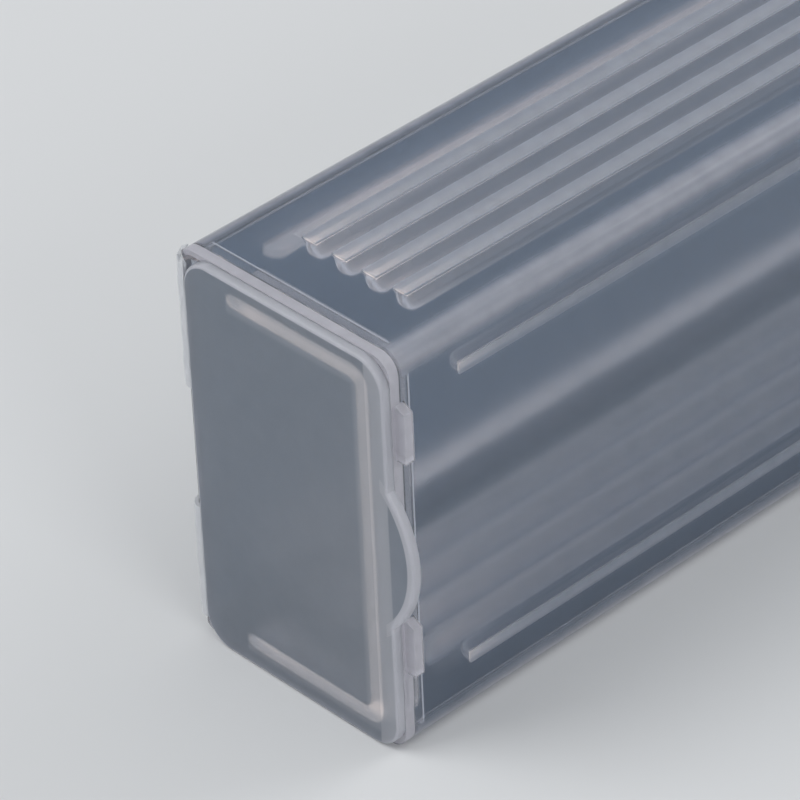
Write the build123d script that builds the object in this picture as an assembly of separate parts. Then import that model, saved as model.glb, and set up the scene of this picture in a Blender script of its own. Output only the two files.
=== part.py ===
from build123d import *
import os

# A five-place slide mailer, moulded in clear polypropylene: a flat tube that holds
# microscope slides on edge between thin divider fins, closed at the mouth by a lid
# on two film straps. Millimetres. It is drawn with Y along the tube from the mouth
# face, X across it towards the latch side, and Z up from the narrow wall that it
# lies on, and is then moved so that the middle of that wall is the origin.

# What the mailer holds
slide_length = 76.0
slide_width = 26.0
slide_count = 5
slot_pitch = 2.68
slide_edge_clearance = 0.9
slide_end_play = 1.0
side_stand_off = 1.65

# Tube
wall = 1.1
floor_wall = 1.3
corner_radius = 1.4
cavity_corner_radius = 0.5
floor_edge_radius = 0.9
cavity_draft = 0.15
outer_draft = 0.2

# Mouth: a shallow rebate for the plug with a sloped lead-in, and a cut-back hinge edge
rebate_depth = 1.9
rebate_step = 0.12
lead_in_depth = 1.25
lead_in_width = 0.45
hinge_chamfer_x = 0.4
hinge_chamfer_y = 0.9

# Divider fins on the narrow walls and stand-off ribs on the broad walls
fin_start = 6.1
fin_height = 1.9
fin_thickness = 0.5
fin_taper = 0.16
fin_root_spread = 0.36
fin_root_rise = 0.3
fin_nose_radius = 1.5
rib_height = 1.4
rib_thickness = 0.5
rib_taper = 0.12
rib_root_spread = 0.2
rib_root_rise = 0.16
rib_nose_radius = 1.1
rib_offset = 3.8

# Catch lugs beside the mouth
lug_length = 4.1
lug_depth = 0.8
lug_setback = 0.26
lug_reach = 0.78
lug_chamfer = 0.45
upper_lug_base = 22.6
lower_lug_base = 6.2
pad_length = 3.1
pad_reach = 0.14
pad_slope = 1.0

# Lid
lid_thickness = 0.65
lid_seat_gap = 0.05
lid_margin = 0.08
lid_corner_radius = 2.2
lid_edge_radius = 0.2
lid_hinge_inset = 1.15
tab_chord = 10.5
tab_reach = 2.05
tab_centre = 15.35

# Plug rim behind the lid
plug_depth = 2.5
plug_wall = 1.05
plug_side_clearance = 0.12
plug_latch_clearance = 0.5
plug_corner_radius = 1.3
plug_arm_start = 4.8
plug_tip_chamfer = 0.25

# Hinge straps
strap_length = 8.8
strap_spacing = 18.1
strap_thickness = 0.3
strap_bend_radius = 0.95
strap_setback = 0.1

# Sizes that follow from the ones above
cavity_width = slide_count * slot_pitch + 2 * side_stand_off
cavity_height = slide_width + 2 * slide_edge_clearance
cavity_depth = plug_depth + slide_length + slide_end_play
tube_width = cavity_width + 2 * wall
tube_height = cavity_height + 2 * wall
tube_length = cavity_depth + floor_wall
half_width = tube_width / 2
mid_height = tube_height / 2
lid_left = -half_width + lid_hinge_inset
lid_right = half_width


def section(y):
    """Plane across the tube at distance y behind the mouth, X across and Z up."""
    return Plane((0, y, 0), x_dir=(1, 0, 0), z_dir=(0, -1, 0))


def rounded_section(y, left, right, bottom, top, radius):
    """Rounded rectangle between the given sides, on the section plane at y."""
    centre = Pos((left + right) / 2, (bottom + top) / 2)
    return section(y) * centre * RectangleRounded(right - left, top - bottom, radius)


def run_along(profile, length):
    """Solid swept from a section profile towards the closed end."""
    return extrude(profile, amount=length, dir=(0, 1, 0))


def drafted_block(length, left, right, bottom, top, draft, bottom_draft, radius):
    """Block whose flat sides draw in by the draft over its length, with round corners."""
    plan = Polygon(
        (left, 0),
        (right, 0),
        (right - draft, length),
        (left + draft, length),
        align=None,
    )
    profile = Plane.YZ * Polygon(
        (0, bottom),
        (0, top),
        (length, top - draft),
        (length, bottom + bottom_draft),
        align=None,
    )
    block = extrude(plan, amount=top, dir=(0, 0, 1)) & extrude(profile, amount=right, both=True)
    long_edges = [edge for edge in block.edges() if edge.length > length / 2]
    return fillet(long_edges, radius)


def fin(height, thickness, taper, spread, rise, nose, length, embed):
    """Fin that stands on a wall: full-round crest, tapered sides, spread root, round nose.

    It lies along local Z from its nose, and stands up along local Y from the wall.
    """
    half_crest = thickness / 2
    crest_height = height - half_crest
    half_stem = half_crest + taper / 2
    half_root = half_stem + spread
    outline = Polygon(
        (-half_root, -embed),
        (half_root, -embed),
        (half_root, 0),
        (half_stem, rise),
        (half_crest, crest_height),
        (-half_crest, crest_height),
        (-half_stem, rise),
        (-half_root, 0),
        align=None,
    )
    body = extrude(outline + Pos(0, crest_height) * Circle(half_crest), amount=length, dir=(0, 0, 1))
    side_view = Plane.YZ * Polygon(
        (-embed, 0),
        (-embed, length),
        (height, length),
        (height, 0),
        align=None,
    )
    shadow = extrude(side_view, amount=half_root, both=True)
    nose_edge = shadow.edges().filter_by(Axis.X).sort_by(Axis.Z)[:2].sort_by(Axis.Y)[-1]
    return body & fillet(nose_edge, nose)


def on_wall(point, inward):
    """Frame on an inner wall: local Y points inward and local Z along the tube."""
    across = Vector(*inward).cross(Vector(0, 1, 0))
    return Plane(point, x_dir=across, z_dir=(0, 1, 0))


def cavity():
    """Space for the slides, with its drafted walls and the lead-in at the mouth."""
    half_cavity = cavity_width / 2
    top = tube_height - wall
    radius = cavity_corner_radius
    flare = lead_in_width
    step = rebate_step
    hollow = drafted_block(
        cavity_depth, -half_cavity, half_cavity, wall, top, cavity_draft, cavity_draft, radius
    )
    rebate = run_along(
        rounded_section(
            0, -half_cavity - step, half_cavity + step, wall - step, top + step, radius + step
        ),
        rebate_depth,
    )
    mouth = rounded_section(
        0, -half_cavity - flare, half_cavity + flare, wall - flare, top + flare, radius + flare
    )
    throat = rounded_section(
        lead_in_depth,
        -half_cavity - step,
        half_cavity + step,
        wall - step,
        top + step,
        radius + step,
    )
    return hollow + rebate + loft([mouth, throat], ruled=True)


def divider_fins():
    """Four fins on each narrow wall, which keep five slides apart."""
    length = cavity_depth - fin_start + floor_wall / 2
    shape = fin(
        fin_height,
        fin_thickness,
        fin_taper,
        fin_root_spread,
        fin_root_rise,
        fin_nose_radius,
        length,
        wall / 2,
    )
    fins = []
    for place in range(slide_count - 1):
        x = (place - (slide_count - 2) / 2) * slot_pitch
        fins.append(on_wall((x, fin_start, wall), (0, 0, 1)) * shape)
        fins.append(on_wall((x, fin_start, tube_height - wall), (0, 0, -1)) * shape)
    return fins


def stand_off_ribs():
    """Two ribs on each broad wall, which hold the outer slides off it."""
    length = cavity_depth - fin_start + floor_wall / 2
    shape = fin(
        rib_height,
        rib_thickness,
        rib_taper,
        rib_root_spread,
        rib_root_rise,
        rib_nose_radius,
        length,
        wall / 2,
    )
    ribs = []
    for z in (rib_offset, tube_height - rib_offset):
        for side in (-1, 1):
            foot = (side * cavity_width / 2, fin_start, z)
            ribs.append(on_wall(foot, (-side, 0, 0)) * shape)
    return ribs


def catch_lug(base):
    """Small block on the latch side of the mouth, with a sloped upper end."""
    outline = Polygon(
        (half_width - wall / 2, base),
        (half_width + lug_reach, base),
        (half_width + lug_reach, base + lug_length - lug_chamfer),
        (half_width, base + lug_length),
        (half_width - wall / 2, base + lug_length),
        align=None,
    )
    return run_along(section(lug_setback) * outline, lug_depth)


def guard_pad():
    """Low pad under the lower lug that runs out to the wall at its lower end."""
    top = lower_lug_base + lug_chamfer
    foot = lower_lug_base - pad_length
    outline = Polygon(
        (half_width - wall / 2, foot),
        (half_width, foot),
        (half_width + pad_reach, foot + pad_slope),
        (half_width + pad_reach, top),
        (half_width - wall / 2, top),
        align=None,
    )
    return run_along(section(lug_setback) * outline, lug_depth)


def hinge_side_chamfer():
    """Wedge cut off the front left edge of the mouth, where the straps turn."""
    wedge = Polygon(
        (-half_width - hinge_chamfer_x, 0),
        (-half_width - hinge_chamfer_x, hinge_chamfer_y),
        (-half_width, hinge_chamfer_y),
        (-half_width + hinge_chamfer_x, 0),
        align=None,
    )
    return extrude(wedge, amount=tube_height, dir=(0, 0, 1))


def make_tube():
    """Tube with its closed end, cavity, dividers and catch lugs."""
    shell = drafted_block(
        tube_length, -half_width, half_width, 0, tube_height, outer_draft, 0, corner_radius
    )
    shell = fillet(shell.faces().sort_by(Axis.Y)[-1].edges(), floor_edge_radius)
    body = shell - cavity() - hinge_side_chamfer()
    for piece in divider_fins() + stand_off_ribs():
        body += piece
    for base in (upper_lug_base, lower_lug_base):
        body += catch_lug(base)
    return body + guard_pad()


def lid_outline():
    """Lid plate outline with the thumb tab, a segment of a circle, on the latch side."""
    tab_radius = (tab_chord**2 / 4 + tab_reach**2) / (2 * tab_reach)
    plate = Pos((lid_left + lid_right) / 2, mid_height) * RectangleRounded(
        lid_right - lid_left, tube_height - 2 * lid_margin, lid_corner_radius
    )
    disc = Pos(lid_right + tab_reach - tab_radius, tab_centre) * Circle(tab_radius)
    beyond = Pos(lid_right + tab_reach / 2, tab_centre) * Rectangle(2 * tab_reach, tab_chord)
    return plate + (disc & beyond)


def plug_outline():
    """U-shaped rim that enters the mouth, open on the hinge side with round ends."""
    right = cavity_width / 2 - plug_latch_clearance
    reach_left = -half_width
    height = cavity_height - 2 * plug_side_clearance
    arm_end = -cavity_width / 2 + plug_arm_start - plug_wall / 2
    centre = Pos((right + reach_left) / 2, mid_height)
    outer = centre * RectangleRounded(right - reach_left, height, plug_corner_radius)
    inner = centre * RectangleRounded(
        right - reach_left - 2 * plug_wall, height - 2 * plug_wall, plug_corner_radius / 2
    )
    kept = Pos((arm_end + half_width) / 2, mid_height) * Rectangle(half_width - arm_end, tube_height)
    rim = (outer - inner) & kept
    for side in (-1, 1):
        tip = Pos(arm_end, mid_height + side * (height - plug_wall) / 2)
        rim += tip * Circle(plug_wall / 2)
    return rim


def make_lid():
    """Lid plate with its thumb tab and the plug rim behind it."""
    front = -lid_seat_gap - lid_thickness
    plate = run_along(section(front) * lid_outline(), lid_thickness)
    front_face = plate.faces().sort_by(Axis.Y)[0]
    plate = fillet(front_face.edges(), lid_edge_radius)
    rim = run_along(section(-lid_seat_gap) * plug_outline(), plug_depth + lid_seat_gap)
    rim = chamfer(rim.faces().sort_by(Axis.Y)[-1].edges(), plug_tip_chamfer)
    return plate + rim


def strap_outline():
    """Hinge film in plan: from the chamfered tube edge round to the lid's edge."""
    outside_x = -half_width
    front = -lid_seat_gap - lid_thickness + strap_setback
    centre_x = outside_x + strap_bend_radius
    centre_y = front + strap_bend_radius
    inner_radius = strap_bend_radius - strap_thickness
    with BuildSketch(Plane.XY) as film:
        with BuildLine():
            outside = Line((outside_x, hinge_chamfer_y), (outside_x, centre_y))
            bend = CenterArc((centre_x, centre_y), strap_bend_radius, 180, 90)
            top = Line(bend @ 1, (lid_left, front))
            end = Line(top @ 1, (lid_left, front + strap_thickness))
            under = Line(end @ 1, (centre_x, front + strap_thickness))
            inner = CenterArc((centre_x, centre_y), inner_radius, 270, -90)
            heel = Line(inner @ 1, (outside_x + strap_thickness, hinge_chamfer_y))
            Line(heel @ 1, outside @ 0)
        make_face()
    tube_corner = Polygon(
        (outside_x, hinge_chamfer_y),
        (outside_x + hinge_chamfer_x, 0),
        (0, 0),
        (0, 2 * hinge_chamfer_y),
        (outside_x, 2 * hinge_chamfer_y),
        align=None,
    )
    return film.sketch - tube_corner


def make_strap(side):
    """Film strap above (side 1) or below (side -1) the middle of the hinge edge."""
    base = mid_height + side * strap_spacing / 2 - strap_length / 2
    return Pos(0, 0, base) * extrude(strap_outline(), amount=strap_length, dir=(0, 0, 1))


def export_all():
    """Write each piece to its own STEP file."""
    os.makedirs("parts", exist_ok=True)
    pieces = {
        "tube": make_tube(),
        "lid": make_lid(),
        "upper_hinge_strap": make_strap(1),
        "lower_hinge_strap": make_strap(-1),
    }
    to_origin = Pos(0, -tube_length / 2, 0)
    for name, shape in pieces.items():
        placed = to_origin * shape
        placed.label = name
        export_step(placed, f"parts/{name}.step")


export_all()
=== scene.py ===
import logging
import math
from dataclasses import dataclass, field
from enum import Enum
from typing import ClassVar

import bmesh
import bpy
import numpy as np
from mathutils import Matrix, Vector


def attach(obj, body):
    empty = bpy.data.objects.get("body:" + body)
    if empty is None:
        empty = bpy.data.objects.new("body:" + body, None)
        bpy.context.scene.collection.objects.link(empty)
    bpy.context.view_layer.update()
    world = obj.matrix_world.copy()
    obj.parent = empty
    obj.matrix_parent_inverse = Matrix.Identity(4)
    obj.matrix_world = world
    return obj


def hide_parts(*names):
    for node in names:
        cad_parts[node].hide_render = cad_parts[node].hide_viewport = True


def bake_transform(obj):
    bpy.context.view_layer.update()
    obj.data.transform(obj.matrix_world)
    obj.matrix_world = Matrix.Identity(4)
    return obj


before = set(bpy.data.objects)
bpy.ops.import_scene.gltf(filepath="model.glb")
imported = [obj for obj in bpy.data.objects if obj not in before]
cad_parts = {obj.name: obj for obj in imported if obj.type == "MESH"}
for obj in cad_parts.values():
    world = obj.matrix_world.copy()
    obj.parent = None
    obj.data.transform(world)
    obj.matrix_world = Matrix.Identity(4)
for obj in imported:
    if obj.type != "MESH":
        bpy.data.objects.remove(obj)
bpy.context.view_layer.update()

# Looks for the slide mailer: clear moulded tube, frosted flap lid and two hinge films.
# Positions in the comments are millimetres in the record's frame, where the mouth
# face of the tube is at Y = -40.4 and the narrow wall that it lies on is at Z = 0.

MILLIMETRE = 0.001
MOUTH_Y = -40.4

logging.basicConfig(level=logging.INFO, format="%(name)s: %(message)s")
log = logging.getLogger("slide_mailer")

Colour = tuple[float, float, float]
Point = tuple[float, float, float]
Skin = tuple[float, float, float]
Socket = bpy.types.NodeSocket
Tree = bpy.types.NodeTree
Piece = bpy.types.Object


class Body(Enum):
    """Bodies of the record that a piece can ride on."""

    TUBE = "tube"
    LID = "lid"


class Slot(Enum):
    """Material slots of the record."""

    TUBE = "clear_polypropylene"
    LID = "frosted_polypropylene"
    FILM = "hinge_film"


@dataclass(frozen=True)
class MailerSizes:
    """Sizes of the mailer's solids, in millimetres from the mouth face.

    Args:
        half_width: from the middle plane to the outside of a broad wall.
        height: from one narrow wall's outside to the other's.
        length: from the mouth to the closed end.
        wall: wall thickness.
        draft: how far each outside draws in over the length.
        corner_radius: radius of the long outside corners.
        cavity_depth: from the mouth to the inside of the closed end.
        lid_left: edge of the lid on the hinge side.
        lid_margin: how far the lid stays inside the tube's outline.
        lid_corner: radius of the lid's corners.
        lid_front: front face of the lid.
        fin_pitch: from one divider fin to the next.
        rib_up: heights of the stand-off ribs.
        ridge_start: front ends of the fins and ribs.
        tab_radius: radius of the thumb tab's arc.
        tab_across: middle of that arc, across the tube.
        tab_up: middle of that arc, above the resting wall.
    """

    half_width: float = 9.45
    height: float = 30.0
    length: float = 80.8
    wall: float = 1.1
    draft: float = 0.2
    corner_radius: float = 1.4
    cavity_depth: float = 79.5
    lid_left: float = -8.3
    lid_margin: float = 0.08
    lid_corner: float = 2.2
    lid_front: float = -0.7
    fin_pitch: float = 2.68
    rib_up: tuple[float, float] = (3.8, 26.2)
    ridge_start: float = 6.1
    tab_radius: float = 7.748
    tab_across: float = 3.752
    tab_up: float = 15.35


SIZES = MailerSizes()
MID_HEIGHT = SIZES.height / 2.0


@dataclass(frozen=True)
class Span:
    """Stretch along one measure, in millimetres.

    Args:
        low: where it starts.
        high: where it ends.
        soft: width outside it over which its mask fades.
    """

    low: float
    high: float
    soft: float


class NodeSheet:
    """Short way to lay out shader nodes in one node tree."""

    def __init__(self, tree: Tree) -> None:
        """Keep the tree that the nodes go into.

        Args:
            tree: node tree of a material or of a group.
        """
        self.tree = tree
        self.given: bpy.types.Node | None = None
        self.result: bpy.types.Node | None = None

    def add(self, kind: str, **settings: object) -> bpy.types.Node:
        """Add a node and set its properties.

        Args:
            kind: Blender's type name of the node.
            settings: property names and values.

        Returns:
            The new node.
        """
        node = self.tree.nodes.new(kind)
        for name, value in settings.items():
            setattr(node, name, value)
        return node

    def feed(self, socket: Socket, value: object) -> None:
        """Link an output to a socket, or write a plain value on it.

        Args:
            socket: input socket.
            value: output socket, number or tuple.
        """
        if isinstance(value, Socket):
            self.tree.links.new(value, socket)
        elif value is not None:
            socket.default_value = value

    def math(self, operation: str, *values: object, clamp: bool = False) -> Socket:
        """Add a Math node.

        Args:
            operation: Blender's operation name.
            values: sockets or numbers, in the node's order.
            clamp: keep the result between 0 and 1.

        Returns:
            The node's output.
        """
        node = self.add("ShaderNodeMath", operation=operation, use_clamp=clamp)
        for socket, value in zip(node.inputs, values):
            self.feed(socket, value)
        return node.outputs[0]

    def product(self, *values: object) -> Socket:
        """Multiply masks.

        Args:
            values: sockets or numbers.

        Returns:
            Their product.
        """
        result = values[0]
        for value in values[1:]:
            result = self.math("MULTIPLY", result, value)
        return result

    def strongest(self, first: object, *weighted: tuple[float, object]) -> Socket:
        """Largest of one mask and of others times their weights.

        Args:
            first: the mask at full weight.
            weighted: pairs of a weight and a mask.

        Returns:
            The combined mask.
        """
        for weight, mask in weighted:
            first = self.math("MAXIMUM", first, self.math("MULTIPLY", mask, weight))
        return first

    def length(self, x: object, y: object) -> Socket:
        """Length of the flat vector (x, y).

        Args:
            x: first part, a socket.
            y: second part, a socket.

        Returns:
            The length.
        """
        pair = self.add("ShaderNodeCombineXYZ")
        self.feed(pair.inputs[0], x)
        self.feed(pair.inputs[1], y)
        node = self.add("ShaderNodeVectorMath", operation="LENGTH")
        self.feed(node.inputs[0], pair.outputs[0])
        return node.outputs["Value"]

    def ramp(self, value: object, low: object, high: object) -> Socket:
        """Smooth step from 0 at low to 1 at high.

        Args:
            value: socket to map.
            low: value that gives 0.
            high: value that gives 1.

        Returns:
            The mapped output.
        """
        node = self.add("ShaderNodeMapRange", interpolation_type="SMOOTHSTEP")
        self.feed(node.inputs["Value"], value)
        self.feed(node.inputs["From Min"], low)
        self.feed(node.inputs["From Max"], high)
        return node.outputs["Result"]

    def blend(self, amount: object, first: object, second: object) -> Socket:
        """Mix two colours.

        Args:
            amount: 0 gives the first colour and 1 the second.
            first: colour socket or value.
            second: colour socket or value.

        Returns:
            The mixed colour.
        """
        node = self.add("ShaderNodeMix", data_type="RGBA", clamp_factor=True)
        self.feed(node.inputs["Factor"], amount)
        self.feed(node.inputs[6], first)
        self.feed(node.inputs[7], second)
        return node.outputs[2]

    def noise(self, vector: object, scale: object, detail: float) -> Socket:
        """Add a Noise Texture and give its value.

        Args:
            vector: coordinates.
            scale: noise scale, a number or a socket.
            detail: number of octaves.

        Returns:
            The noise value, about 0 to 1.
        """
        node = self.add("ShaderNodeTexNoise")
        self.feed(node.inputs["Vector"], vector)
        self.feed(node.inputs["Scale"], scale)
        node.inputs["Detail"].default_value = detail
        return node.outputs["Fac"]

    def place(self, group: Tree, **values: object) -> bpy.types.Node:
        """Add a group node and feed its named inputs.

        Args:
            group: node group to place.
            values: input names, with underscores for spaces, and what feeds them.

        Returns:
            The group node.
        """
        node = self.add("ShaderNodeGroup", node_tree=group)
        for name, value in values.items():
            self.feed(node.inputs[name.replace("_", " ")], value)
        return node


def rgba(colour: Colour) -> tuple[float, float, float, float]:
    """Give a colour its alpha of 1.

    Args:
        colour: red, green and blue.

    Returns:
        The colour with alpha.
    """
    return (*colour, 1.0)


class SharedEffects:
    """Shader node groups that several materials use."""

    def __init__(self) -> None:
        """Build every group once."""
        self.place = self._millimetres()
        self.slab = self._slab()
        self.skin = self._moulded_skin()

    @staticmethod
    def _new(name: str, inputs: dict[str, tuple[str, object]], outputs: dict[str, str]) -> NodeSheet:
        """Make an empty group with named sockets.

        Args:
            name: group name.
            inputs: socket name to its type and default value.
            outputs: socket name to its type.

        Returns:
            A sheet on the new group, with its input and output nodes added.
        """
        tree = bpy.data.node_groups.new(name, "ShaderNodeTree")
        for label, (kind, value) in inputs.items():
            socket = tree.interface.new_socket(label, in_out="INPUT", socket_type=kind)
            if value is not None:
                socket.default_value = value
        for label, kind in outputs.items():
            tree.interface.new_socket(label, in_out="OUTPUT", socket_type=kind)
        sheet = NodeSheet(tree)
        sheet.given = sheet.add("NodeGroupInput")
        sheet.result = sheet.add("NodeGroupOutput")
        return sheet

    def _millimetres(self) -> Tree:
        """Object coordinates in millimetres, counted from the mouth and from mid height.

        Returns:
            The group, with Vector, Across, Along, Up, and the distances from the
            middle planes, Side and Rise.
        """
        sheet = self._new(
            "millimetre_place",
            {},
            {
                "Vector": "NodeSocketVector",
                **dict.fromkeys(("Across", "Along", "Up", "Side", "Rise"), "NodeSocketFloat"),
            },
        )
        coordinates = sheet.add("ShaderNodeTexCoord").outputs["Object"]
        scaled = sheet.add("ShaderNodeVectorMath", operation="SCALE")
        sheet.feed(scaled.inputs[0], coordinates)
        scaled.inputs["Scale"].default_value = 1.0 / MILLIMETRE
        moved = sheet.add("ShaderNodeVectorMath", operation="ADD")
        sheet.feed(moved.inputs[0], scaled.outputs[0])
        moved.inputs[1].default_value = (0.0, -MOUTH_Y, 0.0)
        parts = sheet.add("ShaderNodeSeparateXYZ")
        sheet.feed(parts.inputs[0], moved.outputs[0])
        across, along, up = parts.outputs[0], parts.outputs[1], parts.outputs[2]
        result = sheet.result.inputs
        sheet.feed(result["Vector"], moved.outputs[0])
        sheet.feed(result["Across"], across)
        sheet.feed(result["Along"], along)
        sheet.feed(result["Up"], up)
        sheet.feed(result["Side"], sheet.math("ABSOLUTE", across))
        sheet.feed(result["Rise"], sheet.math("ABSOLUTE", sheet.math("SUBTRACT", up, MID_HEIGHT)))
        return sheet.tree

    def _slab(self) -> Tree:
        """Mask of a slab: 1 between Low and High, fading to 0 over Soft outside them.

        Returns:
            The group.
        """
        sheet = self._new(
            "slab_mask",
            {
                "Value": ("NodeSocketFloat", 0.0),
                "Low": ("NodeSocketFloat", 0.0),
                "High": ("NodeSocketFloat", 1.0),
                "Soft": ("NodeSocketFloat", 0.1),
            },
            {"Mask": "NodeSocketFloat"},
        )
        given = sheet.given.outputs
        rise = sheet.ramp(given["Value"], sheet.math("SUBTRACT", given["Low"], given["Soft"]), given["Low"])
        fall = sheet.ramp(given["Value"], given["High"], sheet.math("ADD", given["High"], given["Soft"]))
        mask = sheet.math("MULTIPLY", rise, sheet.math("SUBTRACT", 1.0, fall))
        sheet.feed(sheet.result.inputs["Mask"], mask)
        return sheet.tree

    def _moulded_skin(self) -> Tree:
        """Surface of moulded plastic: slow waviness, fine grain and thin handling marks.

        Returns:
            The group, with Height for a Bump node, Marks as a mask and Cloud as a
            slow variation.
        """
        sheet = self._new(
            "moulded_skin",
            {
                "Vector": ("NodeSocketVector", None),
                "Wave": ("NodeSocketFloat", 0.5),
                "Grain": ("NodeSocketFloat", 0.1),
                "Grain Scale": ("NodeSocketFloat", 8.0),
                "Marks": ("NodeSocketFloat", 0.3),
            },
            dict.fromkeys(("Height", "Marks", "Cloud"), "NodeSocketFloat"),
        )
        given = sheet.given.outputs
        waves = sheet.noise(given["Vector"], scale=0.22, detail=1.0)
        cloud = sheet.noise(given["Vector"], scale=0.6, detail=3.0)
        grain = sheet.noise(given["Vector"], scale=given["Grain Scale"], detail=3.0)
        stretch = sheet.add("ShaderNodeMapping")
        sheet.feed(stretch.inputs["Vector"], given["Vector"])
        stretch.inputs["Rotation"].default_value = (0.5, 0.3, 0.9)
        stretch.inputs["Scale"].default_value = (0.35, 9.0, 9.0)
        streaks = sheet.noise(stretch.outputs[0], scale=1.4, detail=1.0)
        fine = sheet.ramp(streaks, 0.69, 0.74)
        patch = sheet.ramp(sheet.noise(given["Vector"], scale=0.18, detail=0.0), 0.5, 0.62)
        marks = sheet.product(fine, patch, given["Marks"])
        height = sheet.math("MULTIPLY", waves, given["Wave"])
        height = sheet.math("MULTIPLY_ADD", grain, given["Grain"], height)
        height = sheet.math("SUBTRACT", height, sheet.math("MULTIPLY", marks, 0.2))
        sheet.feed(sheet.result.inputs["Height"], height)
        sheet.feed(sheet.result.inputs["Marks"], marks)
        sheet.feed(sheet.result.inputs["Cloud"], cloud)
        return sheet.tree


def new_material(name: str, **constants: object) -> bpy.types.Material:
    """Make a material and write constant values on its Principled BSDF.

    Args:
        name: material name.
        constants: input names, with underscores for spaces, and their values.

    Returns:
        The material.
    """
    material = bpy.data.materials.new(name)
    material.use_nodes = True
    inputs = material.node_tree.nodes["Principled BSDF"].inputs
    for label, value in constants.items():
        inputs[label.replace("_", " ")].default_value = value
    return material


class MaterialSheet(NodeSheet):
    """Node sheet of a new material, with the place group and the moulded surface."""

    BUMP_DEPTH = 0.02 * MILLIMETRE

    def __init__(self, name: str, effects: SharedEffects, skin: Skin, **constants: object) -> None:
        """Make the material and give its shader the moulded surface.

        Args:
            name: material name.
            effects: the shared groups.
            skin: depth of the waviness, depth of the grain and grain cells per millimetre.
            constants: what new_material writes on the Principled BSDF.
        """
        self.material = new_material(name, **constants)
        super().__init__(self.material.node_tree)
        self.effects = effects
        self.shader = self.tree.nodes["Principled BSDF"]
        self.measures = self.place(effects.place).outputs
        wave, grain, scale = skin
        vector = self.measures["Vector"]
        placed = self.place(effects.skin, Vector=vector, Wave=wave, Grain=grain, Grain_Scale=scale)
        self.skin = placed.outputs
        bump = self.add("ShaderNodeBump")
        bump.inputs["Distance"].default_value = self.BUMP_DEPTH
        self.feed(bump.inputs["Height"], self.skin["Height"])
        self.drive("Normal", bump.outputs["Normal"])

    def drive(self, label: str, value: Socket) -> None:
        """Link a result to the Principled BSDF.

        Args:
            label: input name.
            value: output socket.
        """
        self.feed(self.shader.inputs[label], value)

    def within(self, measure: str | Socket, span: Span) -> Socket:
        """Mask of a span along a measure.

        Args:
            measure: name of one of the place group's outputs, or a socket.
            span: the stretch that the mask shows.

        Returns:
            The mask.
        """
        value = self.measures[measure] if isinstance(measure, str) else measure
        node = self.place(self.effects.slab, Value=value, Low=span.low, High=span.high, Soft=span.soft)
        return node.outputs["Mask"]


@dataclass(frozen=True)
class Plastic:
    """Polypropylene. As it is it gives film that bending has turned milky all over.

    Args:
        name: material name.
        wall: colour of a plain wall.
        thick: colour where the moulding is thick, at rims, ribs and edges, and of the painted highlights
            along the edges.
        transmission: share of the light that goes through.
        roughness: roughness of a plain wall.
        skin: depth of the waviness, depth of the grain and grain cells per millimetre.
    """

    REFRACTION: ClassVar[float] = 1.49

    name: str
    wall: Colour
    thick: Colour
    transmission: float
    roughness: float
    skin: Skin

    def build(self, effects: SharedEffects) -> bpy.types.Material:
        """Build the material.

        Args:
            effects: the shared groups.

        Returns:
            The material.
        """
        sheet = MaterialSheet(
            self.name,
            effects,
            self.skin,
            IOR=self.REFRACTION,
            Transmission_Weight=self.transmission,
            Roughness=self.roughness,
        )
        self.paint(sheet)
        return sheet.material

    def paint(self, sheet: MaterialSheet) -> None:
        """Colour the plastic.

        Args:
            sheet: sheet of the material.
        """
        sheet.drive("Base Color", self.uneven(sheet, sheet.skin["Cloud"]))

    def uneven(self, sheet: MaterialSheet, share: object) -> Socket:
        """Colour between the plain wall's and the thick places'.

        Args:
            sheet: sheet of the material.
            share: 0 gives the wall's colour and 1 the thick places'.

        Returns:
            The colour.
        """
        return sheet.blend(share, rgba(self.wall), rgba(self.thick))

    def tint(self, sheet: MaterialSheet, thick: object, uneven: float) -> None:
        """Colour the wall, slightly uneven, and the thick places.

        Args:
            sheet: sheet of the material.
            thick: mask of the thick places, which also holds the painted edge highlights.
            uneven: share of the thick colour that comes and goes over the wall.
        """
        wall = self.uneven(sheet, sheet.math("MULTIPLY", sheet.skin["Cloud"], uneven))
        sheet.drive("Base Color", sheet.blend(thick, wall, rgba(self.thick)))


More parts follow.
